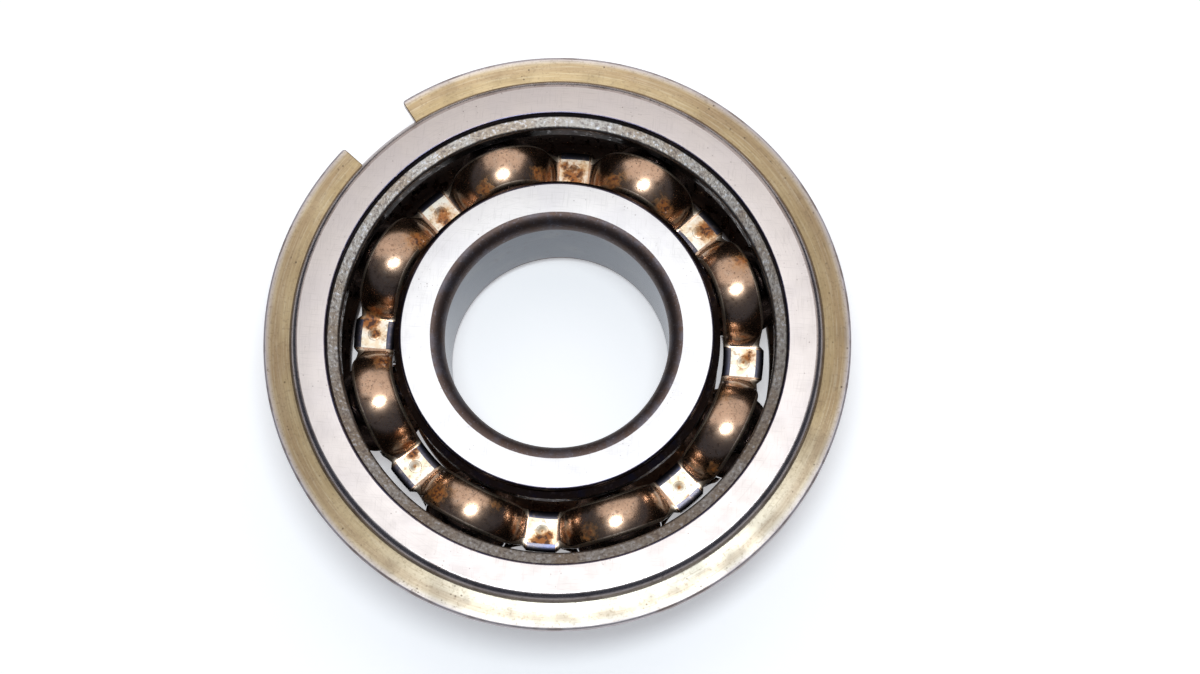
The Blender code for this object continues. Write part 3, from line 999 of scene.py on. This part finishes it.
def grey_rim():
    """The snap ring's sheared edges, outer rim and end faces."""
    steel = Steel("snap_rim_steel", (0.58, 0.53, 0.54), 0.58)
    tears = steel.mask(steel.marks(14.0, 1.5, 4.0), 0.45, 0.65)
    steel.tint(tears, (0.34, 0.27, 0.24), 0.8)
    steel.relief(steel.marks(30.0, 2.0), 0.012)
    return steel.material


def rust_layer(steel, low, high):
    """Rust between two levels of the stored stains, broken up by noise, with a film round it."""
    stored = steel.node("ShaderNodeAttribute", attribute_name="rust").outputs["Fac"]
    broken = steel.maths("ADD", steel.noise(steel.place, 1.5, 5.0, 0.65), -0.5)
    amount = steel.maths("ADD", stored, steel.maths("MULTIPLY", broken, RUST_BREAKUP))
    film = steel.mask(amount, low - RUST_FILM_REACH, high)
    steel.tint(film, RUST_FILM, 0.85)
    rust = steel.mask(amount, low, high)
    steel.tint(rust, RUST_BODY, 0.92)
    pits = steel.maths("MULTIPLY", rust, steel.clouds(1.9, 0.47, 0.56, 5.0))
    steel.tint(pits, RUST_PITS, 0.9)
    steel.polish(rust, RUST_ROUGHNESS)
    metal = steel.maths("SUBTRACT", 1.0, steel.maths("MULTIPLY", rust, RUST_METAL_LOSS))
    steel.tree.links.new(metal, steel.shader.inputs["Metallic"])
    steel.relief(rust, 0.02)


def bronzed_dome(name, colour, roughness):
    """The cage's pockets: dark brown under a glossy coat, with fine specks and rust."""
    steel = Steel(name, colour, roughness)
    steel.shader.inputs["Coat Weight"].default_value = 1.0
    steel.shader.inputs["Coat Roughness"].default_value = 0.13
    steel.tint(steel.clouds(0.22, 0.42, 0.66), scaled_colour(colour, 0.66), 0.7)
    steel.tint(steel.clouds(0.9, 0.54, 0.70, 4.0), (0.62, 0.48, 0.37), 0.35)
    steel.tint(steel.clouds(1.7, 0.52, 0.68, 5.0, 0.65), (0.17, 0.085, 0.045), 0.6)
    specks = steel.clouds(3.8, 0.58, 0.68, 3.0, 0.6)
    steel.tint(specks, (0.06, 0.035, 0.025), 0.75)
    steel.polish(specks, 0.5)
    rust_layer(steel, 0.45, 0.9)
    steel.relief(steel.noise(steel.place, 0.5, 2.0), 0.02)
    steel.relief(steel.noise(steel.place, 6.0), 0.003)
    return steel.material


def bright_pad(name):
    """The flat pads between the pockets: rubbed bright, cream in places, with rust."""
    steel = Steel(name, (0.76, 0.71, 0.62), 0.46)
    steel.tint(steel.clouds(0.6, 0.42, 0.62), (0.66, 0.50, 0.32), 0.75)
    steel.tint(steel.clouds(1.6, 0.52, 0.68, 5.0, 0.6), (0.34, 0.20, 0.11), 0.7)
    rust_layer(steel, 0.42, 0.85)
    steel.relief(steel.noise(steel.place, 3.0, 4.0), 0.008)
    return steel.material


def polished_ball():
    """The balls: mirror-bright, with thin oil smears and tiny scratches."""
    steel = Steel("ball_mirror_steel", (0.66, 0.65, 0.66), 0.07)
    smear = steel.clouds(0.25, 0.48, 0.66)
    steel.tint(smear, (0.38, 0.28, 0.19), 0.6)
    steel.polish(smear, 0.2)
    scratches = steel.noise(steel.scaled(steel.place, (0.3, 6.0, 2.0)), 1.0)
    steel.polish(steel.mask(scratches, 0.62, 0.7), 0.3)
    steel.relief(scratches, 0.001)
    return steel.material


# ---------------------------------------------------------------- stage, lights and camera


def pale_floor():
    """The plain pale floor that the bearing lies on, glowing a little so that it stays white."""
    bm = bmesh.new()
    bmesh.ops.create_grid(bm, x_segments=4, y_segments=4, size=FLOOR_HALF_SIZE)
    mesh = bpy.data.meshes.new("floor")
    bm.to_mesh(mesh)
    bm.free()
    material = bpy.data.materials.new("floor_paint")
    material.use_nodes = True
    shader = material.node_tree.nodes["Principled BSDF"]
    shader.inputs["Base Color"].default_value = FLOOR_COLOUR
    shader.inputs["Roughness"].default_value = FLOOR_ROUGHNESS
    shader.inputs["Specular IOR Level"].default_value = FLOOR_SHINE
    shader.inputs["Emission Color"].default_value = FLOOR_GLOW
    shader.inputs["Emission Strength"].default_value = FLOOR_GLOW_STRENGTH
    mesh.materials.append(material)
    floor = bpy.data.objects.new("floor", mesh)
    floor.location.z = cad_low.z - FLOOR_DROP
    bpy.context.scene.collection.objects.link(floor)


def area_light(name, shape, place, size, watts, colour):
    """A soft light at a place, turned towards the front face, and hidden from the camera."""
    lamp = bpy.data.lights.new(name, "AREA")
    lamp.shape = shape
    lamp.size, lamp.size_y = size
    lamp.energy = watts
    lamp.color = colour
    light = bpy.data.objects.new(name, lamp)
    light.location = place
    light.rotation_mode = "QUATERNION"
    light.rotation_quaternion = (FACE_CENTRE - Vector(place)).to_track_quat("-Z", "Y")
    light.visible_camera = False
    bpy.context.scene.collection.objects.link(light)


def dim_room():
    """A dim, slightly blue room, which the camera itself sees as a pale background."""
    world = bpy.data.worlds.new("room")
    bpy.context.scene.world = world
    world.use_nodes = True
    tree = world.node_tree
    tree.nodes.clear()
    room = tree.nodes.new("ShaderNodeBackground")
    room.inputs["Color"].default_value = ROOM_COLOUR
    room.inputs["Strength"].default_value = ROOM_STRENGTH
    backdrop = tree.nodes.new("ShaderNodeBackground")
    backdrop.inputs["Color"].default_value = BACKDROP_COLOUR
    seen = tree.nodes.new("ShaderNodeLightPath")
    mix = tree.nodes.new("ShaderNodeMixShader")
    output = tree.nodes.new("ShaderNodeOutputWorld")
    tree.links.new(seen.outputs["Is Camera Ray"], mix.inputs[0])
    tree.links.new(room.outputs[0], mix.inputs[1])
    tree.links.new(backdrop.outputs[0], mix.inputs[2])
    tree.links.new(mix.outputs[0], output.inputs[0])


def studio():
    """The floor, the room, a small bright lamp overhead and a big warm panel behind."""
    bpy.context.scene.view_settings.view_transform = "Standard"
    pale_floor()
    dim_room()
    area_light("lamp", "ELLIPSE", LAMP_PLACE, LAMP_SIZE, LAMP_WATTS, LAMP_COLOUR)
    area_light("panel", "RECTANGLE", PANEL_PLACE, PANEL_SIZE, PANEL_WATTS, PANEL_COLOUR)


def photo_camera():
    """The camera: high above the front edge, a little to the right, with the frame slightly rolled."""
    azimuth = math.radians(CAMERA_AZIMUTH)
    elevation = math.radians(CAMERA_ELEVATION)
    roll = math.radians(CAMERA_ROLL)
    back = Vector((
        math.sin(azimuth) * math.cos(elevation),
        -math.cos(azimuth) * math.cos(elevation),
        math.sin(elevation),
    ))
    level = Vector((math.cos(azimuth), math.sin(azimuth), 0.0))
    rise = back.cross(level)
    right = level * math.cos(roll) + rise * math.sin(roll)
    up = rise * math.cos(roll) - level * math.sin(roll)
    sight = right * BEARING_LEFT + up * BEARING_UP - back
    camera_data = bpy.data.cameras.new("camera")
    camera_data.sensor_width = CAMERA_SENSOR
    camera_data.lens = CAMERA_LENS
    camera_data.clip_start = CAMERA_CLIP_START
    camera = bpy.data.objects.new("camera", camera_data)
    matrix = Matrix((right, up, back)).transposed().to_4x4()
    matrix.translation = FACE_CENTRE - sight.normalized() * CAMERA_DISTANCE
    camera.matrix_world = matrix
    bpy.context.scene.collection.objects.link(camera)
    bpy.context.scene.camera = camera


# ---------------------------------------------------------------- the whole bearing


def build():
    """Make every finish and every piece, then the stage, the lights and the camera."""
    edge = dark_edge_and_painted_shade("edge_steel", (0.10, 0.085, 0.11))
    brown_race = oily_race("brown_race_steel", (0.17, 0.095, 0.06), 0.12, (0.07, 0.045, 0.035))
    # Painted shade: the outer raceway and the lands are coloured near black, darker than the inner
    # raceway, for the shade inside the bearing, over their dark oil.
    shaded_outer_race = oily_race("outer_race_painted_shade_steel", (0.065, 0.045, 0.038), 0.14, (0.035, 0.025, 0.022))
    land = oily_race("land_painted_shade_steel", (0.028, 0.023, 0.024), 0.2, (0.06, 0.038, 0.03))
    outer = {
        "face": ground_face("outer_face_steel", (0.60, 0.535, 0.505), (0.575, 0.515, 0.50)),
        "lip": edge,
        "wall": edge,
        "recess": forged_recess(),
        "land": land,
        "race": shaded_outer_race,
        "corner": turned_corner(),
        "outside": ground_outside(),
        "groove": dark_edge_and_painted_shade("groove_steel", (0.16, 0.13, 0.12)),
    }
    inner = {
        "face": ground_face("inner_face_steel", (0.68, 0.655, 0.645), (0.62, 0.595, 0.605)),
        "lip": edge,
        "end": dark_edge_and_painted_shade("end_steel", (0.095, 0.06, 0.045)),
        "land": land,
        "race": brown_race,
        "bore": ground_bore(),
        "bore_corner": hardened_corner(),
    }
    snap = {"flat": tempered_flat(), "rim": grey_rim()}
    cage = {
        "dome": bronzed_dome("dome_steel", (0.63, 0.41, 0.275), 0.25),
        "inside": bronzed_dome("pocket_steel", (0.24, 0.17, 0.13), 0.34),
        "pad": bright_pad("pad_steel"),
        # Painted shade: the pads' rolled edges are coloured near black for the shade along them.
        "roll": dark_edge_and_painted_shade("rolled_edge_painted_shade_steel", (0.075, 0.07, 0.085)),
        # Painted highlight: pale peach on the domes' rolled edges, standing in for the light they
        # reflect.
        "worn": bronzed_dome("dome_rim_painted_highlight_steel", (0.94, 0.77, 0.60), 0.42),
    }
    turned_piece("outer_ring", outer_ring_corners(), outer, "outer")
    turned_piece("inner_ring", inner_ring_corners(), inner, "inner")
    snap_ring_piece(snap)
    sections = cage_sections()
    cage_half_piece("cage_front", 1, sections, cage)
    cage_half_piece("cage_back", -1, sections, cage)
    rivet_pieces(bright_pad("rivet_head_steel"))
    ball_pieces(polished_ball())
    studio()
    photo_camera()


build()
